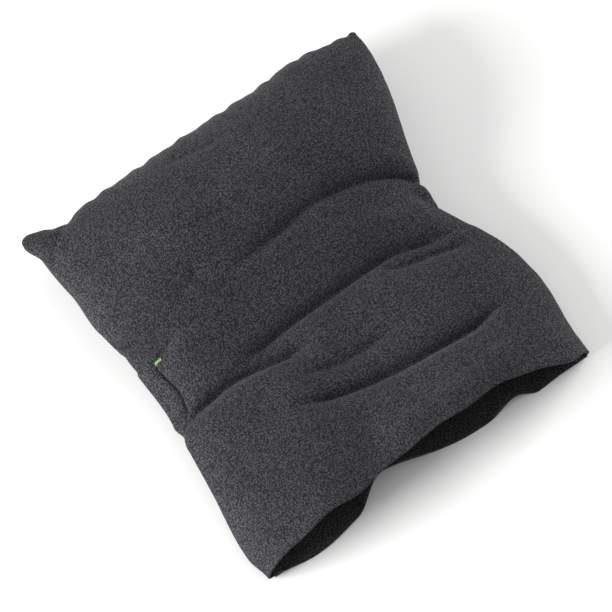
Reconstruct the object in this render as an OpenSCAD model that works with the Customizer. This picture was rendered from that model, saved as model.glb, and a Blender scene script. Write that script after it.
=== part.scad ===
// Camp pillow: a fleece cover closed by a seam at the head and down both sides and open at the
// mouth, with a fibre-filled cushion sewn into its head half. The other half is an open sleeve.
// X runs across the pillow, Y from the mouth towards the head, and Z up from the floor.

/* [Overall] */
// Width across the side seams
pillow_w = 364; // [300:2:460]
// Length as it lies, from the head seam to the mouth
pillow_l = 380; // [330:2:480]
// Height of the stuffed half at its crown
crown_h = 94; // [75:1:130]
// Height of the open sleeve at the mouth
sleeve_h = 54; // [40:1:72]
// Height of the head seam above the floor
seam_h = 42; // [30:1:52]

/* [Waist] */
// How far the left side seam is drawn in at the waist
waist_in_left = 28; // [0:1:30]
// How far the right side seam is drawn in at the waist
waist_in_right = 36; // [0:1:50]
// Length of side seam that the waist draws in
waist_l = 230; // [120:5:250]

/* [Fleece cover] */
// Thickness of the fleece
fleece_t = 2.2; // [1.6:0.1:3]
// Width of the flat margin where two panels are sewn together
margin = 5; // [4:0.5:6.5]
// Length over which the stuffed half swells from the head seam
swell_l = 95; // [60:5:120]

/* [Folds] */
// Depth of the fold that runs across the sleeve nearest the mouth
fold_h = 13; // [4:0.5:16]
// Width of a fold from crest to crest
fold_w = 44; // [36:1:60]

/* [Seams] */
// Width of the overlocked seam allowance turned inside the cover
seam_w = 8; // [7:0.5:12]
// Thickness of the two overlocked allowances together
seam_t = 3.2; // [2.4:0.2:5]

/* [Bartacks] */
// Width of a bartack along the side seam
bartack_w = 2.6; // [1.5:0.1:4]
// Length of each leg of a bartack over the margin
bartack_leg = 4.2; // [2.5:0.1:5]
// Build-up of the bartack's thread over the fleece
bartack_t = 0.8; // [0.5:0.1:1.2]

/* [Inner cushion] */
// Length of the cushion, from the head seam to its tail hem
cushion_l = 156; // [130:2:200]
// Thickness of the cushion's ticking
ticking_t = 0.6; // [0.4:0.1:1]
// Width of the sewn-up hem across the cushion's tail
hem_w = 8; // [6:0.5:12]
// Gap between soft layers that lie on each other
slack = 0.3; // [0.2:0.05:0.5]

/* [Hidden] */

fleece_colour = "#3c3d42";
seam_colour = "#2f3034";
bartack_colour = "#7fce62";
ticking_colour = "#c9cacb";
fibre_colour = "#f2f1ec";

// Places along the pillow
head_y = pillow_l / 2;
mouth_y = -pillow_l / 2;
tail_y = head_y - cushion_l;
bartack_y = tail_y - hem_w / 2;

// The cushion's edge stands this far in from the cover's seams
inset = seam_w + 1;
// Half the cover's thickness at a margin, without and with the outer fleece
seam_half = seam_t / 2;
edge_half = seam_half + fleece_t;
// Half the gap that the cushion's rim is closed to
rim_half = ticking_t + slack / 2;

// The sleeve falls away from the cushion over this length, centred on the tail
fall_l = 150;
// Side seams start down to the floor here, and reach it at the mouth
drop_from = 0.2 * pillow_l;
drop_l = pillow_l - drop_from;

// Powers that set how square the crowns are
crown_square = 2.5;
crown_round = 0.6;
cushion_square = 6;
cushion_round = 0.5;
// The underside is this much fuller than the top, so that it lies flat on the floor
belly = 1.6;
// Steep fleece is measured square to itself, up to this many times its thickness
steepest = 2;
slope_step = 0.25;

// Folds across the top: [from, to, depth as a part of fold_h]. A place is [-1 at the left seam
// to 1 at the right, 0 at the cushion's tail to 1 at the mouth].
folds = [[[-0.33, -0.06], [0.66, -0.03], 0.5],
         [[-0.6, 0.25], [0.72, 0.27], 0.6],
         [[-0.4, 0.58], [0.72, 0.67], 1]];
// A fold runs out over this length at each of its ends
fold_fade = 40;

// Columns and rows of the surfaces between their margins
cross_steps = 16;
cushion_steps = 9;
sleeve_steps = 19;

// ---- Shapes as functions of place ----

function clamp(t) = min(1, max(0, t));
function smooth(t) = let (c = clamp(t)) c * c * (3 - 2 * c);
function mix(a, b, t) = a + (b - a) * t;
function sum(list) = list * [for (item = list) 1];

// 1 in the middle and 0 at -1 and 1, flatter than an ellipse
function arch(w, square, round) = pow(1 - pow(min(1, abs(w)), square), round);

// X of the left (-1) or right (1) side seam at y, drawn in at the waist
function side_x(side, y) =
    let (away = (y - bartack_y) / (waist_l / 2),
         drawn = abs(away) < 1 ? pow(cos(90 * away), 2) : 0)
    side * (pillow_w / 2 - (side < 0 ? waist_in_left : waist_in_right) * drawn);

// Height of the seam plane at y: level at the head, and down to the floor at the mouth
function seam_z(y) =
    mix(seam_h, edge_half, smooth((head_y - drop_from - y) / drop_l));

// -1 to 1 across the pillow at y, between two places that far in from the side seams
function across(x, y, in) =
    let (a = side_x(-1, y) + in, b = side_x(1, y) - in)
    2 * (x - a) / (b - a) - 1;

// 0 at the seams to 1 in the middle of the pillow
function swell(x, y) =
    let (from_head = clamp((head_y - margin - y) / swell_l))
    arch(across(x, y, margin), crown_square, crown_round)
    * arch(1 - from_head, crown_square, crown_round);

// Height of the pillow along its middle
function crown_z(y) =
    mix(crown_h, sleeve_h, smooth((tail_y + fall_l / 2 - y) / fall_l));

// A fold's place on the floor plan
function on_plan(place) = [place.x * pillow_w / 2, mix(tail_y, mouth_y, place.y)];

// How deep a fold from a to b is at a place: 1 along its middle to 0 beside it
function fold(x, y, a, b) =
    let (l = norm(b - a), along = (b - a) / l, from_a = [x, y] - a,
         run = from_a * along, off = cross(along, from_a) / (fold_w / 2))
    pow(cos(90 * min(1, abs(off))), 2)
    * smooth(run / fold_fade) * smooth((l - run) / fold_fade);
function fold_depth(x, y) =
    fold_h * sum([for (f = folds) f[2] * fold(x, y, on_plan(f[0]), on_plan(f[1]))]);

// Outer faces of the cover
function top_z(x, y) =
    let (edge = seam_z(y) + edge_half)
    edge + (crown_z(y) - edge - fold_depth(x, y)) * swell(x, y);
function base_z(x, y) = (seam_z(y) - edge_half) * (1 - min(1, belly * swell(x, y)));

// The fleece's thickness measured straight up, at a place where z(x, y) is its outer face
function upright(z, x, y) =
    let (h = slope_step,
         slope_x = (z(x + h, y) - z(x - h, y)) / (2 * h),
         slope_y = (z(x, y + h) - z(x, y - h)) / (2 * h),
         steep = sqrt(1 + slope_x * slope_x + slope_y * slope_y))
    fleece_t * (swell(x, y) > 0 ? min(steepest, steep) : 1);

// Inner faces of the cover
function top_inside(x, y) = top_z(x, y) - upright(function (x, y) top_z(x, y), x, y);
function base_inside(x, y) = base_z(x, y) + (base_z(x, y) > 0
    ? upright(function (x, y) base_z(x, y), x, y) : fleece_t);

// How far the cushion fills the cover: 0 at its rim to 1
function filled(x, y) =
    let (middle = (head_y - inset + tail_y) / 2, half = (head_y - inset - tail_y) / 2)
    arch(across(x, y, inset), cushion_square, cushion_round)
    * arch((y - middle) / half, cushion_square, cushion_round);

// Outer faces of the cushion, each slack away from the cover
function cushion_top_z(x, y) =
    let (rim = seam_z(y) + rim_half)
    rim + filled(x, y) * max(0, top_inside(x, y) - slack - rim);
function cushion_base_z(x, y) =
    let (rim = seam_z(y) - rim_half)
    rim - filled(x, y) * max(0, rim - base_inside(x, y) - slack);

// ---- Rows and columns ----

// X of the columns at y, closer together near the seams
function columns(y) =
    let (a = side_x(-1, y), b = side_x(1, y),
         middle = (a + b) / 2, half = (b - a) / 2 - inset)
    concat([a, a + margin],
           [for (i = [0 : cross_steps]) middle - half * cos(180 * i / cross_steps)],
           [b - margin, b]);

// Y of the rows, closer together near the head seam
cushion_rows = [for (j = [0 : cushion_steps])
    mix(head_y - inset, tail_y, 1 - cos(90 * j / cushion_steps))];
sleeve_from = bartack_y - bartack_w / 2;
rows = concat([head_y, head_y - margin], cushion_rows,
              [bartack_y + bartack_w / 2],
              [for (j = [0 : sleeve_steps]) mix(sleeve_from, mouth_y, j / sleeve_steps)]);

// A list without its first and last few items
function inner(list, n) = [for (i = [n : len(list) - 1 - n]) list[i]];

// A face as rows of points: at each y, the columns with the height z(x, y) gives
function face(ys, skip, z) = [for (y = ys) [for (x = inner(columns(y), skip)) [x, y, z(x, y)]]];

// ---- Modules ----

// A closed solid between two faces that have the same rows and columns
module plate(outer, inside) {
    m = len(outer);
    n = len(outer[0]);
    points = concat([for (row = outer) each row], [for (row = inside) each row]);
    function at(side, j, i) = side * m * n + j * n + i;
    polyhedron(points, concat(
        [for (j = [0 : m - 2], i = [0 : n - 2]) each [
            [at(0, j, i), at(0, j, i + 1), at(0, j + 1, i + 1)],
            [at(0, j, i), at(0, j + 1, i + 1), at(0, j + 1, i)],
            [at(1, j, i), at(1, j + 1, i + 1), at(1, j, i + 1)],
            [at(1, j, i), at(1, j + 1, i), at(1, j + 1, i + 1)]]],
        [for (j = [0 : m - 2]) each [
            [at(0, j, 0), at(0, j + 1, 0), at(1, j + 1, 0)],
            [at(0, j, 0), at(1, j + 1, 0), at(1, j, 0)],
            [at(0, j, n - 1), at(1, j + 1, n - 1), at(0, j + 1, n - 1)],
            [at(0, j, n - 1), at(1, j, n - 1), at(1, j + 1, n - 1)]]],
        [for (i = [0 : n - 2]) each [
            [at(0, 0, i), at(1, 0, i + 1), at(0, 0, i + 1)],
            [at(0, 0, i), at(1, 0, i), at(1, 0, i + 1)],
            [at(0, m - 1, i), at(0, m - 1, i + 1), at(1, m - 1, i + 1)],
            [at(0, m - 1, i), at(1, m - 1, i + 1), at(1, m - 1, i)]]]));
}

// A flat strip that lies in the seam plane between two edges, given as functions of y
module strip(ys, left, right, half) {
    function level(side) = [for (y = ys)
        [for (x = [left(y), right(y)]) [x, y, seam_z(y) + side * half]]];
    plate(level(1), level(-1));
}

module top_panel() {
    color(fleece_colour)
        plate(face(rows, 0, function (x, y) top_z(x, y)),
              face(rows, 0, function (x, y) top_inside(x, y)));
}

module base_panel() {
    color(fleece_colour)
        plate(face(rows, 0, function (x, y) base_inside(x, y)),
              face(rows, 0, function (x, y) base_z(x, y)));
}

// The overlocked allowances of one side seam, between the two panels' margins
module side_seam(side) {
    edge = function (y) side_x(side, y);
    raw_edge = function (y) side_x(side, y) - side * seam_w;
    color(seam_colour)
        strip(rows, side < 0 ? edge : raw_edge, side < 0 ? raw_edge : edge, seam_half);
}

module head_seam() {
    color(seam_colour)
        strip([head_y, head_y - margin, head_y - seam_w],
              function (y) side_x(-1, y) + seam_w,
              function (y) side_x(1, y) - seam_w, seam_half);
}

// A band of dense stitches over the edge of a side seam, from the top margin to the base margin
module bartack(side) {
    function band(out) = [for (y = [bartack_y + bartack_w / 2, bartack_y - bartack_w / 2])
        let (x = side_x(side, y) + side * out,
             leg = side_x(side, y) - side * bartack_leg,
             z = edge_half + out)
        [[leg, y, seam_z(y) + z], [x, y, seam_z(y) + z],
         [x, y, seam_z(y) - z], [leg, y, seam_z(y) - z]]];
    color(bartack_colour)
        if (side > 0) plate(band(bartack_t), band(0));
        else plate(band(0), band(bartack_t));
}

module cushion_top() {
    color(ticking_colour)
        plate(face(cushion_rows, 2, function (x, y) cushion_top_z(x, y)),
              face(cushion_rows, 2, function (x, y) cushion_top_z(x, y) - ticking_t));
}

module cushion_base() {
    color(ticking_colour)
        plate(face(cushion_rows, 2, function (x, y) cushion_base_z(x, y) + ticking_t),
              face(cushion_rows, 2, function (x, y) cushion_base_z(x, y)));
}

// The fibre fill, one row and one column in from the ticking's rim
module cushion_fill() {
    lining = ticking_t + slack;
    ys = inner(cushion_rows, 1);
    color(fibre_colour)
        plate(face(ys, 3, function (x, y) cushion_top_z(x, y) - lining),
              face(ys, 3, function (x, y) cushion_base_z(x, y) + lining));
}

// The hem that closes the cushion's tail, and runs out to both side seams under the bartacks
module cushion_tail_hem() {
    color(ticking_colour)
        strip([tail_y - slack, bartack_y + bartack_w / 2, sleeve_from, tail_y - hem_w],
              function (y) side_x(-1, y) + seam_w + slack,
              function (y) side_x(1, y) - seam_w - slack, ticking_t);
}

top_panel();
base_panel();
side_seam(-1);  // left_seam
side_seam(1);  // right_seam
head_seam();
bartack(-1);  // left_bartack
bartack(1);  // right_bartack
cushion_top();
cushion_base();
cushion_fill();
cushion_tail_hem();
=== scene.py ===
"""Camp pillow: the looks of its fleece cover, seams, bartacks and inner cushion.

The cover is two panels of charcoal polar fleece, sewn along the head and both sides and open at the
mouth. A cushion is sewn into its head half, and the other half is a sleeve that has slumped into
folds. Lengths are in millimetres until a mesh is made: X runs across the pillow, Y towards its head
and Z up from the floor.
"""

import bpy
import numpy as np
from bpy.props import FloatProperty, FloatVectorProperty, PointerProperty
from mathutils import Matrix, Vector


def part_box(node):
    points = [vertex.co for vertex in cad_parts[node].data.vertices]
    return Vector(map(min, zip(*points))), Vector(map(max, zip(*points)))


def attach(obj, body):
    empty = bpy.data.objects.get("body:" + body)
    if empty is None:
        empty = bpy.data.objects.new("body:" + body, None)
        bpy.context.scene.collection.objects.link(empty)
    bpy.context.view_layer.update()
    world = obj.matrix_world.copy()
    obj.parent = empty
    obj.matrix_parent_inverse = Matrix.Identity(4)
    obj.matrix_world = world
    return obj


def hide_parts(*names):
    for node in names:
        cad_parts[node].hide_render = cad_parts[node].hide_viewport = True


bl_info = {
    "name": "Camp Pillow",
    "version": (1, 0, 0),
    "blender": (4, 5, 0),
    "location": "3D View > Sidebar > Camp Pillow",
    "description": "Makes a fleece camp pillow with a stuffed head half and an open sleeve half",
    "category": "Add Mesh",
}

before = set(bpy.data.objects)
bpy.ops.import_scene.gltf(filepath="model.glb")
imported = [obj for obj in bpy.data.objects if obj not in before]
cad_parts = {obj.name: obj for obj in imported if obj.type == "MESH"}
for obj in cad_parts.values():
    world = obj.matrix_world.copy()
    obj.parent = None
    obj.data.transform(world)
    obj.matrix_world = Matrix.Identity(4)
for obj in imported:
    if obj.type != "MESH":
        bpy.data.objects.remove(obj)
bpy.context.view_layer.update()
MM = 0.001


def node_box(node):
    """The lowest and highest corners of a CAD node, in millimetres."""
    low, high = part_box(node)
    return np.array(low) / MM, np.array(high) / MM


# ---- The pillow's sizes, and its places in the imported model, in millimetres ----

FLEECE_T = 2.2  # the fleece
ALLOWANCE_W = 8.0  # a seam allowance, from the seam to its raw edge
ALLOWANCE_T = 3.2  # its two layers, pressed together by the overlock
ALLOWANCE_GAP = 0.3  # between an allowance and the fleece around it
MOUTH_SEAM_Z = 3.8  # height of the side seams at the mouth
SLEEVE_Z = 53.0  # height of the sleeve along its middle, before it is folded
FLOOR_GAP = 0.3  # between the underside and the floor
EAR = 3.5  # radius of the two corners of the head
TUCK = 2.2  # how far the stitches draw the panels in at the side seams
TUCK_REACH = 1.5
HEAD_REACH = 22.0  # how far the head seam's gathers run into the panels
MOUTH_REACH = 90.0  # and the mouth's waves
HEAD_RISE = 100.0  # distance from the head seam to where the panels are level

COVER_LOW, COVER_HIGH = node_box("top_panel")
HALF_W = COVER_HIGH[0]
HEAD_Y, MOUTH_Y = COVER_HIGH[1], COVER_LOW[1]
LENGTH = HEAD_Y - MOUTH_Y
CROWN_Z = COVER_HIGH[2]
HEAD_SEAM_Z = node_box("head_seam")[1][2] - ALLOWANCE_T / 2
TACK_LOW, TACK_HIGH = node_box("left_bartack")
TACK_Y = (TACK_LOW[1] + TACK_HIGH[1]) / 2
TAIL_LOW, TAIL_HIGH = node_box("cushion_tail_hem")
TAIL_Y = TAIL_HIGH[1]


# ---- Curves ----


def smooth(t):
    """0 up to t = 0 and 1 from t = 1, on the cubic that is level at both ends."""
    t = np.clip(t, 0, 1)
    return t * t * (3 - 2 * t)


def mix(a, b, t):
    """a at t = 0 and b at t = 1, on a straight line."""
    return a + (b - a) * t


def hump(p, at, before, after):
    """1 at a place, falling as a squared cosine to 0 that far before it and after it."""
    away = np.abs(p - at) / np.where(p < at, before, after)
    return np.cos(np.minimum(away, 1) * np.pi / 2) ** 2


def humps(p, rows):
    """The sum of several humps, each given as [height, place, reach before it, reach after it]."""
    return sum(height * hump(p, at, before, after) for height, at, before, after in rows)


def nick(p, at, reach):
    """1 at a place, falling as e to the minus distance over reach on both sides."""
    return np.exp(-np.abs(p - at) / reach)


def stretch(p, low, high, soft):
    """1 between two places, falling smoothly to 0 over a soft length outside them."""
    return smooth((p - low + soft) / soft) * smooth((high + soft - p) / soft)


def arch(w, square, round_):
    """1 in the middle and 0 at -1 and 1: one minus the size of w to a power, to a power."""
    return (1 - np.minimum(np.abs(w), 1) ** square) ** round_


def through(places, count):
    """Points evenly spaced in parameter on the Catmull-Rom curve through some places."""
    p = np.array(places, float)
    p = np.vstack([2 * p[0] - p[1], p, 2 * p[-1] - p[-2]])
    t = np.linspace(0, len(p) - 3 - 1e-9, count)
    i, f = t.astype(int), (t % 1)[:, None]
    a, b, c, d = p[i], p[i + 1], p[i + 2], p[i + 3]
    return 0.5 * (2 * b + (c - a) * f + (2 * a - 5 * b + 4 * c - d) * f**2
                  + (3 * b - a - 3 * c + d) * f**3)


# ---- The cover's outline ----

# What draws the side seams in, as humps over Y. Less than 0 lets a seam out.
LEFT_SEAM = [(16, 20, 190, 150),  # the wide hollow of the waist
             (5, TACK_Y - 38, 26, 34),  # deeper below the bartack
             (-4, MOUTH_Y + 25, 25, 70)]  # the flare at the mouth
RIGHT_SEAM = [(36, 14, 86, 168),  # the deep hollow of the waist
              (-4, -105, 62, 62),  # the sleeve's flare
              (2.5, -60, 45, 35)]  # flatter between the two

# What draws the head seam towards the mouth and the mouth's edges towards the head, as humps over
# a, the share of the way across: -1 at the left seam to 1 at the right
HEAD_EDGE = [(6, -0.77, 0.12, 0.17), (-5, -0.95, 0.12, 0.12), (-3, 0.25, 0.9, 0.5),
             (-6.5, 0.64, 0.3, 0.33)]
TOP_MOUTH = [(3, 0.6, 0.25, 0.3), (3, -0.6, 0.35, 0.4), (-5, 0.85, 0.2, 0.14)]
BASE_MOUTH = [(-8, -0.66, 0.3, 0.3), (12, -0.25, 0.2, 0.5), (5, 0.56, 0.2, 0.14),
              (5, 0.12, 0.5, 0.5), (3, -0.5, 0.4, 0.4)]


def seam_x(side, y):
    """X of a side seam: half the width, less what is drawn in, with a round ear at the head.

    The left seam is also drawn in along a level stretch below the bartack and beside the stuffed
    half. The right one has two nicks, where folds run into it, and leans outwards to the head.
    """
    if side < 0:
        level = 16 * stretch(y, TACK_Y - 52, TACK_Y + 3, 26)
        upper = 7.5 * smooth((HEAD_Y - 5 - y) / 18) * smooth((y - 85) / 45)
        drawn = humps(y, LEFT_SEAM) + level + upper
        lean = 0
    else:
        nicks = 6 * nick(y, 33, 4) + 2 * nick(y, 4, 4)
        upper = 1.5 * smooth((HEAD_Y - y) / 8) * smooth((y - 95) / 60)
        drawn = humps(y, RIGHT_SEAM) + nicks + upper
        lean = 6 * y / HEAD_Y
    turn = np.clip((HEAD_Y - y) / EAR, 0, 1)
    corner = EAR * (1 - np.sqrt(1 - (1 - turn) ** 2))
    return side * (HALF_W - drawn - corner) + lean


def seam_z(y):
    """Height of the seams: level at the head, and down to the floor at the mouth."""
    start = 0.2 * LENGTH
    return mix(HEAD_SEAM_Z, MOUTH_SEAM_Z, smooth((HEAD_Y - start - y) / (LENGTH - start)))


def head_shift(a):
    """How far the head seam is drawn towards the mouth: its long waves and small gathers."""
    return humps(a, HEAD_EDGE) + 0.7 * np.sin(a * 41) + 0.5 * np.sin(a * 67 + 1)


def mouth_shift(a, panel):
    """How far the mouth's edge stands towards the head, for the top or the base panel. The right
    end stands further in than the left one."""
    slant = 4.5 * (1 + a)
    if panel == "top":
        lifted_middle = 9.5 * stretch(a, -0.16, 0.4, 0.35)
        return slant + lifted_middle + humps(a, TOP_MOUTH) + 0.8 * np.sin(a * 19)
    return slant + humps(a, BASE_MOUTH) + 0.6 * np.sin(a * 17)


# ---- Folds ----

# A crease runs through places on the plan: [-1 to 1 across the cover's greatest width, 0 at the
# head to 1 at the mouth]. In millimetres, depth is how far it drops the cloth, head and mouth how
# far that reaches to those sides, pinch the depth of the narrow groove at its bottom, fade how long
# it takes to die out at its right and left ends, and soft how round its bottom is.
CREASES = [
    # across the waist, from the right seam to the middle
    dict(path=[(0.83, 0.422), (0.76, 0.400), (0.69, 0.376), (0.56, 0.354), (0.30, 0.339),
               (0.05, 0.353), (-0.32, 0.38)],
         depth=9, head=10, mouth=10, pinch=6, fade=(19, 75), soft=1.5),
    # down into the nick of the right waist
    dict(path=[(0.82, 0.500), (0.78, 0.482), (0.745, 0.460), (0.71, 0.4415), (0.64, 0.425)],
         depth=5, head=6, mouth=6, pinch=0, fade=(4, 16), soft=2),
    # below the waist, nearly from seam to seam
    dict(path=[(0.80, 0.568), (0.59, 0.548), (0.43, 0.531), (0.18, 0.534), (-0.19, 0.540),
               (-0.60, 0.558)],
         depth=8, head=10, mouth=10, pinch=7, fade=(40, 70), soft=1),
    # a branch of it at the right
    dict(path=[(0.86, 0.610), (0.65, 0.592), (0.48, 0.577), (0.24, 0.548)],
         depth=7, head=7, mouth=7, pinch=3, fade=(30, 45), soft=1.5),
    # from the left seam, below the bartack
    dict(path=[(-0.09, 0.610), (-0.29, 0.596), (-0.45, 0.580), (-0.60, 0.575), (-0.75, 0.580),
               (-0.92, 0.586)],
         depth=8, head=9, mouth=9, pinch=7, fade=(30, 8), soft=0.8),
    # shallow, across the middle of the sleeve
    dict(path=[(0.36, 0.703), (0.13, 0.692), (-0.04, 0.690), (-0.20, 0.672), (-0.35, 0.650)],
         depth=7, head=13, mouth=9, pinch=3, fade=(60, 40), soft=1.5),
    # the deepest, across the sleeve towards the mouth
    dict(path=[(0.82, 0.778), (0.66, 0.784), (0.53, 0.793), (0.35, 0.790), (0.18, 0.783),
               (0.0, 0.768), (-0.15, 0.752), (-0.33, 0.731), (-0.48, 0.714)],
         depth=12, head=15, mouth=13, pinch=7, fade=(55, 50), soft=1),
    # out of the bartack, along the stuffed half's foot
    dict(path=[(-0.90, 0.430), (-0.82, 0.424), (-0.727, 0.422), (-0.64, 0.412)],
         depth=8, head=8, mouth=7, pinch=6, fade=(26, 3)),
    # across the left ear
    dict(path=[(-0.99, 0.135), (-0.90, 0.075), (-0.80, 0.035), (-0.72, 0.0)],
         depth=6, head=7, mouth=10, pinch=1, fade=(4, 12)),
    # slack in the stuffed half, near the head
    dict(path=[(-0.32, 0.050), (-0.10, 0.070), (0.20, 0.090)],
         depth=2.6, head=6, mouth=9, pinch=0, fade=(35, 35)),
    dict(path=[(-0.30, 0.145), (0.0, 0.180), (0.28, 0.205)],
         depth=2.2, head=9, mouth=7, pinch=0, fade=(40, 40)),
    # slack on the stuffed half's foot, at the left
    dict(path=[(-0.62, 0.370), (-0.48, 0.345), (-0.30, 0.318)],
         depth=2.5, head=8, mouth=8, pinch=0.5, fade=(20, 20)),
]

# Soft rolls that stand up between the creases: path, height and reach to each side
ROLLS = [
    dict(path=[(0.80, 0.870), (0.69, 0.892), (0.37, 0.912), (0.0, 0.915), (-0.30, 0.915)],
         height=6, head=14, mouth=14, fade=(50, 60)),
    dict(path=[(0.84, 0.520), (0.60, 0.480), (0.35, 0.450), (0.0, 0.445)],
         height=4, head=14, mouth=16, fade=(25, 60)),
    dict(path=[(0.84, 0.395), (0.72, 0.345), (0.60, 0.330)],
         height=3.5, head=8, mouth=8, fade=(10, 20)),
]


PATH_POINTS = 80
PINCH_REACH_HEAD, PINCH_REACH_MOUTH = 2.2, 4.5


def beside(x, y, path):
    """How far a place is from a curve over the plan, more than 0 on its head side, and how far
    along it lies from the curve's right and left ends."""
    a, d = through(path, PATH_POINTS).T
    cx, cy = a * HALF_W, HEAD_Y - d * LENGTH
    order = np.argsort(cx)
    cx, cy = cx[order], cy[order]
    slope = np.gradient(cy, cx)
    off = (y - np.interp(x, cx, cy)) / np.sqrt(1 + np.interp(x, cx, slope) ** 2)
    return off, cx[-1] - x, x - cx[0]


def crease_drop(x, y, path, depth, head, mouth, pinch, fade, soft=0.6):
    """How far a crease drops the cloth: its depth times e to the minus distance over reach, and a
    narrow pinch at its bottom, fading out towards its right and left ends. The bottom is rounded
    over a soft length."""
    off, from_right, from_left = beside(x, y, path)
    run = smooth(from_right / fade[0]) * smooth(from_left / fade[1])
    away = np.sqrt(off**2 + soft**2) - soft
    wide = np.exp(-away / np.where(off > 0, head, mouth))
    narrow = np.exp(-away / np.where(off > 0, PINCH_REACH_HEAD, PINCH_REACH_MOUTH))
    return run * (depth * wide + pinch * narrow)


def roll_rise(x, y, path, height, head, mouth, fade):
    """How far a soft roll lifts the cloth: a bell curve across it, fading out at its ends."""
    off, from_right, from_left = beside(x, y, path)
    run = smooth(from_right / fade[0]) * smooth(from_left / fade[1])
    return run * height * np.exp(-((off / np.where(off > 0, head, mouth)) ** 2))


def slack(x, y):
    """Gentle lumps of soft filling: a few slow waves laid over each other."""
    return (1.1 * np.sin(x / 31 + y / 57) + 0.9 * np.sin(x / 19 - y / 41 + 2)
            + 0.8 * np.sin(y / 17 + x / 73 + 1) + 0.5 * np.sin(x / 11 + y / 13))


# ---- The cover's two surfaces ----


# Beside the left bartack, how much further the base panel's wall bellies out, as humps over Y
LEFT_BELLY = [(4, TACK_Y - 38, 26, 34), (-3, TACK_Y + 8, 7, 14)]
# The wrinkles of the base panel that stand up in the mouth, as humps over a
MOUTH_WRINKLES = [(26, -0.26, 0.17, 0.42), (9, 0.56, 0.15, 0.13)]


def grid(columns, fine, coarse):
    """Places over a panel: a across it from -1 to 1, closer together near the side seams, and d
    down it in millimetres, closer together near the head seam."""
    a = np.sin(np.linspace(-np.pi / 2, np.pi / 2, columns))
    radius, bend = 95, 0.45
    near = radius * (1 - np.cos(np.linspace(0, bend, fine, endpoint=False)))
    far = np.linspace(radius * (1 - np.cos(bend)), LENGTH, coarse)
    return np.meshgrid(a, np.concatenate([near, far]))


def plan(a, d, panel):
    """X and Y of places on a panel: between the side seams, and between the head seam's gathers
    and the mouth's wavy edge."""
    y = HEAD_Y - d
    left, right = seam_x(-1, y), seam_x(1, y)
    x = (left + right) / 2 + a * (right - left) / 2
    near_head = np.exp(-d / HEAD_REACH)
    near_mouth = smooth(1 - (LENGTH - d) / MOUTH_REACH)
    return x, y - head_shift(a) * near_head + mouth_shift(a, panel) * near_mouth


def tucked(a, x, z, edge):
    """X of a panel drawn in by the stitches where it meets the side seam, less with distance."""
    away = np.hypot((1 - np.abs(a)) * HALF_W, z - edge)
    return x - np.sign(a) * TUCK * np.exp(-away / TUCK_REACH)


def swell(a, d, square, round_):
    """0 at the side seams and the head seam, to 1 inside them: an arch each way."""
    near_head = np.clip(d / HEAD_RISE, 0, 1)
    return arch(a, square, round_) * arch(1 - near_head, 2.2, 0.55)


def crown(d):
    """Height of the pillow along its middle: the stuffed half, and down its foot to the sleeve."""
    foot_start, foot_length = TAIL_Y + 78, 140
    foot = smooth((foot_start - (HEAD_Y - d)) / foot_length)
    return mix(CROWN_Z + 1, SLEEVE_Z, foot)


def top_surface(a, d):
    """The top panel's outer face: from the seams up to the crown, less the creases, with the
    rolls and the slack, and rolled out over the side seams."""
    x, y = plan(a, d, "top")
    middle = HEAD_Y - d
    edge = seam_z(middle)
    sleeve = smooth((d - 120) / 120)
    # near the mouth the left side stands up steeply and the cloth beside it is flatter
    steep = 2.5 * smooth((d - LENGTH + 150) / 150) * (a < 0)
    rise = swell(a, d, mix(2.3, 3.0, sleeve) + steep, mix(0.55, 0.6, sleeve))
    z = edge + (crown(d) - edge) * rise
    drop = sum(crease_drop(x, y, **c) for c in CREASES)
    lift = sum(roll_rise(x, y, **r) for r in ROLLS)
    z = z + (lift - drop + slack(x, y)) * np.minimum(1, rise * 1.6)
    # the mouth's edge dips, and so does the sleeve behind it
    z = z - 9 * hump(a, -0.25, 0.4, 0.26) * smooth(1 - (LENGTH - d) / 110) * rise
    # gathers along the side seams
    from_seam = (1 - np.abs(a)) * HALF_W
    gathers = 0.5 * np.sin(y / 3.1 + 1.4 * np.sin(y / 23)) * np.exp(-from_seam / 14)
    z = z + gathers * np.minimum(1, rise * 4)
    z = np.maximum(z, edge + 0.05)
    # the cloth rolls out over the seam, more so on both sides of the left bartack
    roll = 3 + (a < 0) * (2 * stretch(middle, TACK_Y - 50, TACK_Y - 10, 8)
                          + 4 * stretch(middle, TACK_Y + 12, TACK_Y + 45, 12))
    x = x + np.sign(a) * roll * (1 - np.exp(-(z - edge) / 2.2))
    return np.stack([tucked(a, x, z, edge), y, z], -1)


def base_surface(a, d):
    """The base panel's outer face: a wall that bellies out below the seams, and a flat underside
    with wrinkles that stand up in the mouth."""
    x, y = plan(a, d, "base")
    middle = HEAD_Y - d
    edge = seam_z(middle)
    # under is 0 at the seams and 1 on the underside, with the wall between
    full = np.clip(1.7 * swell(a, d, 2.6, 0.6), 0, 1)
    under = 1 - (1 - full) ** 1.5
    z = edge * (1 - under)
    left = 2.5 + 18 * stretch(middle, TACK_Y - 54, TACK_Y + 6, 20) + humps(middle, LEFT_BELLY)
    right = 2.5 + 3 * stretch(middle, -60, 60, 40)
    belly = np.sin(np.pi * (1 - under))
    x = x + np.where(a < 0, -left, right) * belly
    y = y + 3 * belly * np.exp(-d / 20) * (1 - np.abs(a) ** 6)
    near_mouth = smooth(1 - (LENGTH - d) / 85)
    z = z + humps(a, MOUTH_WRINKLES) * near_mouth * under + FLOOR_GAP
    z = np.minimum(z, np.maximum(edge, z * under))
    # below the left bartack the wall swells up against the top panel's roll
    out = left * belly * (a < 0)
    z = z + (3.6 * smooth((out - 1) / 5) * smooth((18 - out) / 10)
             * stretch(middle, TACK_Y - 48, TACK_Y - 8, 8))
    return np.stack([tucked(a, x, z, edge), y, z], -1)


def facing(surface):
    """1 for the top panel's surface, which faces up, and -1 for the base panel's."""
    return 1 if surface is top_surface else -1


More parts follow.
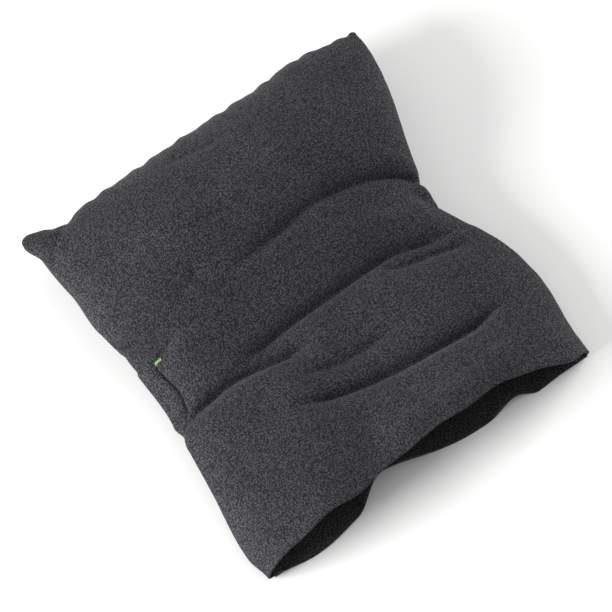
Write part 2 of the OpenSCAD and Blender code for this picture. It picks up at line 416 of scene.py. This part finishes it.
def normals(points):
    """Unit normals of a grid of points: the cross product of its steps across and down, each
    averaged with its neighbours a few times, so that the inner face hardly crosses itself."""
    n = np.cross(np.gradient(points, axis=0), np.gradient(points, axis=1))
    n /= np.maximum(np.linalg.norm(n, axis=-1, keepdims=True), 1e-9)
    passes = 6
    for _ in range(passes):
        wide = np.pad(n, ((1, 1), (1, 1), (0, 0)), mode="edge")
        n = (wide[:-2, 1:-1] + wide[2:, 1:-1] + wide[1:-1, :-2] + wide[1:-1, 2:] + n) / 5
    return n / np.maximum(np.linalg.norm(n, axis=-1, keepdims=True), 1e-9)


# ---- Meshes ----


def grid_faces(rows, columns, first=0, turned=False):
    """Corner numbers of the squares of a grid of points."""
    i = first + np.arange(rows - 1)[:, None] * columns + np.arange(columns - 1)
    quads = np.stack([i, i + 1, i + columns + 1, i + columns], -1).reshape(-1, 4)
    return quads[:, ::-1] if turned else quads


def plate(outer, inner):
    """Points and faces of a closed sheet between two grids of points of one size: the outer
    face, the inner face turned over, and a band around their edges."""
    rows, columns = outer.shape[:2]
    count = rows * columns
    index = np.arange(count).reshape(rows, columns)
    rim = np.concatenate([index[0, :-1], index[:-1, -1], index[-1, :0:-1], index[:0:-1, 0]])
    after = np.roll(rim, -1)
    around = np.stack([rim, after, after + count, rim + count], -1)
    points = np.concatenate([outer.reshape(-1, 3), inner.reshape(-1, 3)])
    faces = np.concatenate([grid_faces(rows, columns, 0, True),
                            grid_faces(rows, columns, count), around])
    return points, faces


def shell(surface, outer, inner):
    """A closed sheet whose outer face is one of the pillow's two surfaces, facing outwards."""
    points, faces = plate(outer, inner)
    return points, faces[:, ::facing(surface)]


def through_rings(rings):
    """Points and faces of a closed solid through rings of points: squares around it, and a ladder
    of squares across each end."""
    count, sides = rings.shape[:2]
    i = np.arange(count - 1)[:, None] * sides
    j = np.arange(sides)
    k = (j + 1) % sides
    around = np.stack([i + j, i + k, i + k + sides, i + j + sides], -1).reshape(-1, 4)
    i = np.arange(sides // 2 - 1)
    ladder = np.stack([i, sides - 1 - i, sides - 2 - i, i + 1], -1)
    last = (count - 1) * sides
    return rings.reshape(-1, 3), np.concatenate([around, ladder, ladder[:, ::-1] + last])


def thread_along(path, radius, sides=6):
    """Points and faces of a thread along a path: a ring square to it at each point."""
    along = np.gradient(path, axis=0)
    along /= np.linalg.norm(along, axis=1, keepdims=True)
    askew = [0.31, 0.17, 0.94]  # a direction that no thread runs in
    up = np.cross(along, askew)
    up /= np.linalg.norm(up, axis=1, keepdims=True)
    out = np.cross(along, up)
    turn = np.linspace(0, 2 * np.pi, sides, endpoint=False)
    ring = np.cos(turn)[:, None] * up[:, None] + np.sin(turn)[:, None] * out[:, None]
    return through_rings(path[:, None] + radius * ring)


def band(path, out, profile):
    """Points and faces of a flat band along a path: a profile of places [outwards, upwards] is
    laid at each point, with outwards as given there."""
    up = np.array([0, 0, 1.0])
    return through_rings(path[:, None] + profile[:, 0, None] * out[:, None]
                         + profile[:, 1, None] * up)


def rounded_bar(corners, width, thickness, width_power, thickness_power):
    """Outwards and upwards places of a flat rounded bar's section: the cosine and the sine of a
    turn, each to a power under its own sign, times half the size."""
    turn = np.linspace(0, 2 * np.pi, corners, endpoint=False) + np.pi / corners
    c, s = np.cos(turn), np.sin(turn)
    return (np.sign(c) * np.abs(c) ** width_power * width / 2,
            np.sign(s) * np.abs(s) ** thickness_power * thickness / 2)


def run_along(path):
    """How far along a path each of its points is."""
    steps = np.linalg.norm(np.diff(path, axis=0), axis=1)
    return np.concatenate([[0], np.cumsum(steps)])


def joined(parts):
    """Points and faces of several shapes as one."""
    points = np.concatenate([p for p, _ in parts])
    starts = np.cumsum([0] + [len(p) for p, _ in parts[:-1]])
    return points, np.concatenate([f + s for (_, f), s in zip(parts, starts)])


def add_piece(name, shape, material, replaces=()):
    """A mesh object from points in millimetres and four-cornered faces, riding on the body."""
    points, faces = shape
    mesh = bpy.data.meshes.new(name)
    mesh.vertices.add(len(points))
    mesh.vertices.foreach_set("co", (points * MM).astype(np.float32).ravel())
    mesh.loops.add(faces.size)
    mesh.loops.foreach_set("vertex_index", faces.astype(np.int32).ravel())
    mesh.polygons.add(len(faces))
    mesh.polygons.foreach_set("loop_start", np.arange(0, faces.size, 4, dtype=np.int32))
    mesh.polygons.foreach_set("use_smooth", np.ones(len(faces), bool))
    mesh.update(calc_edges=True)
    mesh.validate()
    piece = bpy.data.objects.new(name, mesh)
    bpy.context.scene.collection.objects.link(piece)
    mesh.materials.append(material)
    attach(piece, "root")
    if replaces:
        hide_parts(*replaces)
    return piece


# ---- Materials ----


def linear(colour):
    """A linear colour from an sRGB hex value such as #3c3d42."""
    c = np.array([int(colour[i : i + 2], 16) for i in (1, 3, 5)]) / 255
    c = np.where(c <= 0.04045, c / 12.92, ((c + 0.055) / 1.055) ** 2.4)
    return (*c.tolist(), 1.0)


def add_node(tree, kind, inputs=(), **settings):
    """Adds a node with its settings, and sets its inputs by name or number: a socket is linked to
    the input, and any other value is put in it."""
    new = tree.nodes.new(kind)
    for name, value in settings.items():
        setattr(new, name, value)
    for name, value in dict(inputs).items():
        socket = new.inputs[name]
        if isinstance(value, bpy.types.NodeSocket):
            tree.links.new(value, socket)
        else:
            socket.default_value = value
    return new


def new_material(name):
    """An empty material: its tree, its output and object coordinates."""
    material = bpy.data.materials.new(name)
    material.use_nodes = True
    tree = material.node_tree
    tree.nodes.clear()
    output = add_node(tree, "ShaderNodeOutputMaterial")
    place = add_node(tree, "ShaderNodeTexCoord").outputs["Object"]
    return material, tree, output, place


def per_metre(millimetres):
    """The texture scale at which one cycle takes that many millimetres."""
    return 1000 / millimetres


def polar_fleece(colour):
    """Polar fleece: a polyester knit, brushed and then tumbled, so that its nap curls into soft
    pebbles about 2 mm apart. It is matt, painted shade darkens its hollows and painted light
    lightens the nap's tips in its colour, and the loose fibre ends catch a little light where the
    cloth turns away."""
    material, tree, output, place = new_material("Polar fleece, charcoal")
    pebbles = add_node(tree, "ShaderNodeTexVoronoi",
                       {"Vector": place, "Scale": per_metre(1.95), "Randomness": 0.8})
    pebble_height = add_node(tree, "ShaderNodeMapRange",
                             {"Value": pebbles.outputs["Distance"], "From Min": 0.1,
                              "From Max": 0.7, "To Min": 1.0, "To Max": 0.0})
    curls = add_node(tree, "ShaderNodeTexNoise",
                     {"Vector": place, "Scale": per_metre(1.25), "Detail": 0.0,
                      "Distortion": 0.5})
    curl_height = add_node(tree, "ShaderNodeMapRange",
                           {"Value": curls.outputs["Fac"], "From Min": 0.32, "From Max": 0.68})
    height = add_node(tree, "ShaderNodeMath",
                      {0: pebble_height.outputs["Result"], 1: 0.8,
                       2: curl_height.outputs["Result"]}, operation="MULTIPLY_ADD")
    bump = add_node(tree, "ShaderNodeBump",
                    {"Height": height.outputs["Value"], "Strength": 0.7, "Distance": 0.0005})
    # painted shade and painted light: the colour follows the nap's height, darker in its hollows
    # and lighter on its tips
    level = add_node(tree, "ShaderNodeMapRange",
                     {"Value": height.outputs["Value"], "From Min": 0.4, "From Max": 1.4,
                      "To Min": 0.35, "To Max": 1.75})
    # brushed this way and that: slow changes of a few per cent
    brushed = add_node(tree, "ShaderNodeTexNoise",
                       {"Vector": place, "Scale": per_metre(55), "Detail": 2.0})
    patch = add_node(tree, "ShaderNodeMapRange",
                     {"Value": brushed.outputs["Fac"], "From Min": 0.3, "From Max": 0.7,
                      "To Min": 0.93, "To Max": 1.07})
    shade = add_node(tree, "ShaderNodeMath",
                     {0: level.outputs["Result"], 1: patch.outputs["Result"]},
                     operation="MULTIPLY")
    tint = add_node(tree, "ShaderNodeVectorMath",
                    {0: colour[:3], "Scale": shade.outputs["Value"]}, operation="SCALE")
    cloth = add_node(tree, "ShaderNodeBsdfPrincipled",
                     {"Base Color": tint.outputs["Vector"], "Roughness": 0.95,
                      "Specular IOR Level": 0.15, "Sheen Weight": 0.12, "Sheen Roughness": 0.3,
                      "Sheen Tint": linear("#cccccf"), "Normal": bump.outputs["Normal"]})
    tree.links.new(cloth.outputs["BSDF"], output.inputs["Surface"])
    return material


def sewing_thread(name, colour):
    """Spun polyester thread: two plies twisted together, with a soft gloss along the twist."""
    material, tree, output, place = new_material(name)
    twist = add_node(tree, "ShaderNodeTexNoise",
                     {"Vector": place, "Scale": per_metre(0.4), "Detail": 2.0})
    bump = add_node(tree, "ShaderNodeBump",
                    {"Height": twist.outputs["Fac"], "Strength": 0.5, "Distance": 0.0002})
    level = add_node(tree, "ShaderNodeMapRange",
                     {"Value": twist.outputs["Fac"], "To Min": 0.75, "To Max": 1.2})
    tint = add_node(tree, "ShaderNodeVectorMath",
                    {0: colour[:3], "Scale": level.outputs["Result"]}, operation="SCALE")
    thread = add_node(tree, "ShaderNodeBsdfPrincipled",
                      {"Base Color": tint.outputs["Vector"], "Roughness": 0.5,
                       "Sheen Weight": 0.2, "Normal": bump.outputs["Normal"]})
    tree.links.new(thread.outputs["BSDF"], output.inputs["Surface"])
    return material


def plain_weave(name, colour):
    """Ticking: a plain weave of fine polyester yarns. They are too fine to see one by one, so a
    coarser weave is drawn, with its yarns about 5 mm apart."""
    material, tree, output, place = new_material(name)
    # a wave texture has 20 radians to a unit, so at this scale one cycle takes 5 mm
    yarns = [add_node(tree, "ShaderNodeTexWave",
                      {"Vector": place, "Scale": 62.5, "Distortion": 0.6},
                      bands_direction=axis) for axis in ("X", "Y")]
    weave = add_node(tree, "ShaderNodeMath",
                     {0: yarns[0].outputs["Fac"], 1: yarns[1].outputs["Fac"]}, operation="MULTIPLY")
    bump = add_node(tree, "ShaderNodeBump",
                    {"Height": weave.outputs["Value"], "Strength": 0.4, "Distance": 0.0003})
    level = add_node(tree, "ShaderNodeMapRange",
                     {"Value": weave.outputs["Value"], "To Min": 0.9, "To Max": 1.05})
    tint = add_node(tree, "ShaderNodeVectorMath",
                    {0: colour[:3], "Scale": level.outputs["Result"]}, operation="SCALE")
    cloth = add_node(tree, "ShaderNodeBsdfPrincipled",
                     {"Base Color": tint.outputs["Vector"], "Roughness": 0.8,
                      "Sheen Weight": 0.15, "Normal": bump.outputs["Normal"]})
    tree.links.new(cloth.outputs["BSDF"], output.inputs["Surface"])
    return material


def carded_fibre(name, colour):
    """Polyester fibre fill: fine white fibres carded into a soft mass, with painted shade in the
    gaps between them.
    """
    material, tree, output, place = new_material(name)
    strands = add_node(tree, "ShaderNodeTexNoise",
                       {"Vector": place, "Scale": per_metre(6), "Detail": 8.0,
                        "Roughness": 0.75, "Distortion": 2.5})
    bump = add_node(tree, "ShaderNodeBump",
                    {"Height": strands.outputs["Fac"], "Strength": 0.8, "Distance": 0.003})
    # painted shade: the colour is darker in the gaps between the strands
    level = add_node(tree, "ShaderNodeMapRange",
                     {"Value": strands.outputs["Fac"], "To Min": 0.7, "To Max": 1.1})
    tint = add_node(tree, "ShaderNodeVectorMath",
                    {0: colour[:3], "Scale": level.outputs["Result"]}, operation="SCALE")
    mass = add_node(tree, "ShaderNodeBsdfPrincipled",
                    {"Base Color": tint.outputs["Vector"], "Roughness": 1.0,
                     "Sheen Weight": 0.4, "Normal": bump.outputs["Normal"]})
    tree.links.new(mass.outputs["BSDF"], output.inputs["Surface"])
    return material


def backdrop_paper(colour):
    """Matt studio paper: pale, with a very faint tooth."""
    material, tree, output, place = new_material("Backdrop paper")
    tooth = add_node(tree, "ShaderNodeTexNoise", {"Vector": place, "Scale": per_metre(2)})
    bump = add_node(tree, "ShaderNodeBump",
                    {"Height": tooth.outputs["Fac"], "Strength": 0.05, "Distance": 0.0002})
    paper = add_node(tree, "ShaderNodeBsdfPrincipled",
                     {"Base Color": colour, "Roughness": 0.9, "Normal": bump.outputs["Normal"]})
    tree.links.new(paper.outputs["BSDF"], output.inputs["Surface"])
    return material


MATERIALS = {}


def material_for(name, make, *settings):
    """A finish made once and shared by the pieces that have it."""
    if name not in MATERIALS:
        MATERIALS[name] = make(*settings)
    return MATERIALS[name]


def fleece():
    """The cover's fleece, in the colour that is set."""
    colour = tuple(bpy.context.scene.camp_pillow.fleece_colour)
    return material_for("fleece", polar_fleece, colour)


def ticking():
    """The inner cushion's ticking."""
    return material_for("ticking", plain_weave, "Ticking, light grey", linear("#c9cacb"))


# ---- Sizes and colours that a user would change ----


class CampPillowSettings(bpy.types.PropertyGroup):
    fleece_thickness: FloatProperty(
        name="Fleece thickness", description="Thickness of the cover's fleece",
        default=FLEECE_T * MM, min=0.0015, max=0.003, unit="LENGTH")
    fleece_colour: FloatVectorProperty(
        name="Fleece", description="Colour of the fleece's pile", subtype="COLOR",
        size=3, min=0, max=1, default=linear("#37373a")[:3])
    bartack_colour: FloatVectorProperty(
        name="Bartack thread", description="Colour of the bartacks' thread", subtype="COLOR",
        size=3, min=0, max=1, default=linear("#86b570")[:3])
    view_distance: FloatProperty(
        name="Camera distance", description="How far the camera stands from the pillow",
        default=6.0, min=1, max=10, unit="LENGTH")


# ---- The cover ----


def panel_shape(surface, thickness):
    """A fleece panel: its outer face and, one thickness inside it, its inner face."""
    outer = surface(*grid(columns=160, fine=12, coarse=278))
    return shell(surface, outer, outer - facing(surface) * thickness * normals(outer))


class CAMPPILLOW_OT_cover(bpy.types.Operator):
    """Make the two fleece panels of the cover"""

    bl_idname = "camp_pillow.cover"
    bl_label = "Fleece cover"

    def execute(self, context):
        thickness = context.scene.camp_pillow.fleece_thickness / MM
        top = add_piece("top_fleece", panel_shape(top_surface, thickness), fleece(),
                        ["top_panel"])
        base = add_piece("base_fleece", panel_shape(base_surface, thickness), fleece(),
                         ["base_panel"])
        return {"FINISHED"}


# ---- The seams ----

OVERLOCK_PITCH = 3.0
OVERLOCK_DEPTH = 5.2  # from the raw edge to the needle line
OVERLOCK_PROUD = 0.3  # how far the thread stands out past the raw edge
OVERLOCK_R = 0.24
GROOVE = (1.3, 0.55)  # between the two layers at the raw edge: its depth and reach


def allowance_profile():
    """The section of two cut edges lying on each other: a flat rounded bar, [outwards, upwards],
    with a groove between the layers at its raw edge, which is its inner one."""
    out, up = rounded_bar(20, ALLOWANCE_W, ALLOWANCE_T, 0.3, 0.45)
    groove = GROOVE[0] * np.exp(-((up / GROOVE[1]) ** 2)) * (out < 0)
    return np.stack([out + groove, up], -1)


def overlock(path, out):
    """The thread over the raw edge: at each stitch it crosses the top of the band from the needle
    line to the edge and comes back below, so it winds round it as a flattened helix."""
    run = run_along(path)
    stitches = int(run[-1] / OVERLOCK_PITCH)
    steps = 14
    phase = np.linspace(0, 2 * np.pi * stitches, stitches * steps + 1)
    at = phase / (2 * np.pi) / stitches * run[-1]
    centre = np.stack([np.interp(at, run, c) for c in path.T], -1)
    side = np.stack([np.interp(at, run, c) for c in out.T], -1)
    edge = ALLOWANCE_W / 2 + OVERLOCK_PROUD
    across = OVERLOCK_DEPTH / 2 * (1 + np.cos(phase)) - edge
    up = (ALLOWANCE_T / 2 + 0.2) * np.clip(1.5 * np.sin(phase), -1, 1)
    return thread_along(centre + across[:, None] * side + up[:, None] * [0, 0, 1], OVERLOCK_R)


def side_seam_line(side):
    """The middle line of a side seam's allowance, inside the cover and a little proud of the
    mouth's edge, and its way outwards."""
    d = np.linspace(9, LENGTH, 190)
    x, y = plan(float(side), d, "top")
    x = x - side * (TUCK + FLEECE_T + ALLOWANCE_GAP + ALLOWANCE_W / 2)
    y = y - 1.5 * smooth((d - LENGTH + 6) / 6)
    # near the mouth it is lifted off the base panel
    z = np.maximum(seam_z(HEAD_Y - d), FLEECE_T + ALLOWANCE_T / 2 + 2.2)
    line = np.stack([x, y, z], -1)[::side]
    return line, np.tile([float(side), 0, 0], (len(line), 1))


def head_seam_line():
    """The middle line of the head seam's allowance, and its way outwards."""
    x, y = plan(np.linspace(-0.9, 0.9, 150), np.zeros(150), "top")
    y = y - (FLEECE_T + ALLOWANCE_GAP + ALLOWANCE_W / 2)
    line = np.stack([x, y, np.full_like(x, HEAD_SEAM_Z)], -1)
    return line, np.tile([0, 1.0, 0], (len(line), 1))


class CAMPPILLOW_OT_seams(bpy.types.Operator):
    """Make the overlocked seam allowances inside the cover"""

    bl_idname = "camp_pillow.seams"
    bl_label = "Seams"

    def execute(self, context):
        thread = material_for("overlock", sewing_thread, "Overlock thread, charcoal",
                              linear("#4a4b50"))
        for name, (line, out) in (("left_seam", side_seam_line(-1)),
                                  ("right_seam", side_seam_line(1)),
                                  ("head_seam", head_seam_line())):
            shape = band(line, out, allowance_profile())
            add_piece(name + "_allowance", shape, fleece(), [name])
            add_piece(name + "_overlock", overlock(line, out), thread)
        return {"FINISHED"}


# ---- The bartacks ----

TACK_DOWN = 3.0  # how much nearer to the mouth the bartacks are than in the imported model
ZIG_PITCH, ZAG_REACH = 0.8, 1.5
ZIG_R, UNDER_R = 0.42, 0.3
UNDER_STITCHES = (-0.8, 0.1, 0.9)  # where the long stitches lie, along the seam
# Node, side, and its ends: millimetres from the seam, less than 0 on the base panel
BARTACKS = [("left_bartack", -1, -2.0, 10.5), ("right_bartack", 1, -4.2, 0.4)]


def lifted(surface, a, d, height):
    """Places that far above a panel's outer face, square to it."""
    step_a, step_d = 0.002, 0.3
    across = surface(a + step_a, d) - surface(a - step_a, d)
    down = surface(a, d + step_d) - surface(a, d - step_d)
    n = np.cross(down, across)
    n *= facing(surface) / np.linalg.norm(n, axis=-1, keepdims=True)
    return surface(a, d) + n * np.asarray(height)[..., None]


def across_seam(side, d, s, sideways, height):
    """Places beside a side seam: s millimetres from it over the top panel, or over the base panel
    where s is negative, and moved sideways along it."""
    half = (seam_x(1, HEAD_Y - d) - seam_x(-1, HEAD_Y - d)) / 2
    reach, samples = 25, 400
    inwards = side * (1 - np.linspace(0, 1, samples) ** 2 * reach / half)
    places = []
    for surface in (top_surface, base_surface):
        run = run_along(surface(inwards, np.full(samples, d)))
        a = np.interp(np.abs(s), run, inwards)
        places.append(lifted(surface, a, d + sideways, height))
    return np.where(s[:, None] > 0, places[0], places[1])


def bartack(side, low, high):
    """A bartack: tight zigzags of thick thread across the side seam, from low millimetres (less
    than 0: on the base panel) to high ones on the top panel, each a little uneven, over long
    stitches that lie under them."""
    d = HEAD_Y - TACK_Y + TACK_DOWN
    steps = 8
    zigs = int((high - low) / ZIG_PITCH)
    k = np.linspace(0, zigs, zigs * steps + 1)
    zag = 2 * np.abs((k % 2) - 1) - 1
    uneven = 0.3 * np.sin(k * 2.3) + 0.2 * np.sin(k * 5.1 + 1)
    s = mix(low, high, k / zigs)
    stitch = across_seam(side, d, s, 0.1 * s + zag * ZAG_REACH + uneven,
                         0.4 + 0.4 * (1 - zag**2))
    parts = [thread_along(stitch, ZIG_R)]
    for offset in UNDER_STITCHES:
        s = np.linspace(low - 0.2, high + 0.2, 24)
        run = across_seam(side, d, s, offset + 0.1 * s, np.full(24, 0.12))
        parts.append(thread_along(run, UNDER_R))
    return joined(parts)


class CAMPPILLOW_OT_bartacks(bpy.types.Operator):
    """Make the green bartacks at the ends of the waist"""

    bl_idname = "camp_pillow.bartacks"
    bl_label = "Bartacks"

    def execute(self, context):
        colour = tuple(context.scene.camp_pillow.bartack_colour)
        thread = material_for("bartack", sewing_thread, "Bartack thread, light green", colour)
        for node, side, low, high in BARTACKS:
            add_piece(node + "_stitches", bartack(side, low, high), thread,
                      [node])
        return {"FINISHED"}


# ---- The inner cushion ----

TICKING_T = 0.6
CUSHION_SIDE, CUSHION_HEAD = 23, 16  # from the cushion's rim to the side seams and the head seam
TICKING_CLEAR, FILLING_CLEAR = 6.5, 9  # from the cover's outer face down to each
FILLING_INSET = 5
HEM_END = 9  # how much shorter the tail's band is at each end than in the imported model


def cushion_place(columns, rows, inset):
    """Places of the inner cushion, closer together near its rim: the cover's own a and d there,
    and how full it is, from 0 at its rim to 1."""
    a = np.sin(np.linspace(-np.pi / 2, np.pi / 2, columns))
    t = (1 - np.cos(np.linspace(0, np.pi, rows))) / 2
    a, t = np.meshgrid(a, t)
    d = mix(CUSHION_HEAD + inset, HEAD_Y - TAIL_Y - inset, t)
    y = HEAD_Y - d
    half = (seam_x(1, y) - seam_x(-1, y)) / 2
    cover_a = a * (1 - (CUSHION_SIDE + inset) / half)
    full = arch(a, 5, 0.5) * arch(2 * t - 1, 4, 0.5)
    return cover_a, d, full


def cushion_face(surface, columns, rows, inset, clear):
    """One outer face of the cushion: from its rim on the seam plane out towards the cover, with
    small gathers all round the rim."""
    a, d, full = cushion_place(columns, rows, inset)
    points = surface(a, d)
    rim = seam_z(HEAD_Y - d)
    sign = facing(surface)
    room = np.maximum(0, sign * (points[..., 2] - rim) - clear)
    gather = 0.5 * np.sin(points[..., 0] / 2.9) * np.sin(points[..., 1] / 3.3)
    swollen = full * np.maximum(0, room * 0.98 + gather * (1 - full))
    points[..., 2] = rim + sign * (0.75 + swollen)
    return points


def tail_band():
    """The hem across the cushion's tail: a flat band, level with the side seams there."""
    x = np.linspace(TAIL_LOW[0] + HEM_END, TAIL_HIGH[0] - HEM_END, 60)
    y = (TAIL_LOW[1] + TAIL_HIGH[1]) / 2
    line = np.stack([x, np.full_like(x, y), np.full_like(x, seam_z(y))], -1)
    profile = rounded_bar(12, TAIL_HIGH[1] - TAIL_LOW[1], 2 * TICKING_T, 0.4, 1)
    return band(line, np.tile([0, 1.0, 0], (len(line), 1)), np.stack(profile, -1))


class CAMPPILLOW_OT_cushion(bpy.types.Operator):
    """Make the inner cushion: two halves of ticking, the fibre in them and the tail's hem"""

    bl_idname = "camp_pillow.cushion"
    bl_label = "Inner cushion"

    def execute(self, context):
        fibre = material_for("fibre", carded_fibre, "Polyester fibre fill", linear("#f2f1ec"))
        for name, surface in (("top", top_surface), ("base", base_surface)):
            outer = cushion_face(surface, 90, 60, 0, TICKING_CLEAR)
            inner = outer - facing(surface) * np.array([0, 0, TICKING_T])
            piece = add_piece("cushion_ticking_" + name, shell(surface, outer, inner), ticking(),
                              ["cushion_" + name])
        upper, lower = (cushion_face(surface, 70, 50, FILLING_INSET, FILLING_CLEAR)
                        for surface in (top_surface, base_surface))
        filling = add_piece("cushion_filling", plate(upper, lower), fibre,
                            ["cushion_fill"])
        add_piece("cushion_tail_band", tail_band(), ticking(), ["cushion_tail_hem"])
        return {"FINISHED"}


# ---- The studio ----

FLOOR_HALF = 6.0
WORLD_STRENGTH = 0.48
# Name, place and width in metres, and power in watts
LIGHTS = [("key", (-2.3, 0.3, 0.8), 1.2, 112), ("side", (2.4, 0.4, 0.7), 1.2, 60)]
AZIMUTH, ELEVATION = -36, 65  # degrees: from the pillow's front left, well above it
TARGET = (0.001, 0.008, 0.0)
VIEW_WIDTH = 0.5508  # metres across the view, at the target
SENSOR = 36


class CAMPPILLOW_OT_stage(bpy.types.Operator):
    """Make the studio: floor, lights and camera"""

    bl_idname = "camp_pillow.stage"
    bl_label = "Studio"

    def execute(self, context):
        mesh = bpy.data.meshes.new("studio_floor")
        size = FLOOR_HALF
        mesh.from_pydata([(-size, -size, 0), (size, -size, 0), (size, size, 0), (-size, size, 0)],
                         [], [(0, 1, 2, 3)])
        mesh.materials.append(backdrop_paper(linear("#fafaf9")))
        floor = bpy.data.objects.new("studio_floor", mesh)
        context.scene.collection.objects.link(floor)

        world = bpy.data.worlds.new("Studio")
        world.use_nodes = True
        background = world.node_tree.nodes["Background"]
        background.inputs["Color"].default_value = (1, 1, 1, 1)
        background.inputs["Strength"].default_value = WORLD_STRENGTH
        context.scene.world = world
        context.scene.view_settings.view_transform = "Standard"

        for name, place, width, power in LIGHTS:
            light = bpy.data.lights.new(name, "AREA")
            light.energy = power
            light.size = width
            lamp = bpy.data.objects.new(name, light)
            lamp.location = place
            lamp.rotation_euler = (-Vector(place)).to_track_quat("-Z", "Y").to_euler()
            context.scene.collection.objects.link(lamp)

        azimuth, elevation = np.radians(AZIMUTH), np.radians(ELEVATION)
        towards = Vector((np.sin(azimuth) * np.cos(elevation),
                          -np.cos(azimuth) * np.cos(elevation), np.sin(elevation)))
        distance = context.scene.camp_pillow.view_distance
        data = bpy.data.cameras.new("camera")
        data.sensor_width = SENSOR
        data.lens = SENSOR * distance / VIEW_WIDTH
        camera = bpy.data.objects.new("camera", data)
        camera.location = Vector(TARGET) + distance * towards
        camera.rotation_euler = (-towards).to_track_quat("-Z", "Y").to_euler()
        context.scene.collection.objects.link(camera)
        context.scene.camera = camera
        return {"FINISHED"}


class CAMPPILLOW_PT_panel(bpy.types.Panel):
    bl_label = "Camp Pillow"
    bl_idname = "CAMPPILLOW_PT_panel"
    bl_space_type = "VIEW_3D"
    bl_region_type = "UI"
    bl_category = "Camp Pillow"

    def draw(self, context):
        for name in CampPillowSettings.__annotations__:
            self.layout.prop(context.scene.camp_pillow, name)
        for operator in OPERATORS:
            self.layout.operator(operator.bl_idname)


OPERATORS = [CAMPPILLOW_OT_cover, CAMPPILLOW_OT_seams, CAMPPILLOW_OT_bartacks,
             CAMPPILLOW_OT_cushion, CAMPPILLOW_OT_stage]
CLASSES = [CampPillowSettings, *OPERATORS, CAMPPILLOW_PT_panel]


def register():
    for c in CLASSES:
        bpy.utils.register_class(c)
    bpy.types.Scene.camp_pillow = PointerProperty(type=CampPillowSettings)


def unregister():
    del bpy.types.Scene.camp_pillow
    for c in reversed(CLASSES):
        bpy.utils.unregister_class(c)


def main():
    """Makes every piece."""
    register()
    bpy.ops.camp_pillow.cover()
    bpy.ops.camp_pillow.seams()
    bpy.ops.camp_pillow.bartacks()
    bpy.ops.camp_pillow.cushion()
    bpy.ops.camp_pillow.stage()


if __name__ == "__main__":
    main()
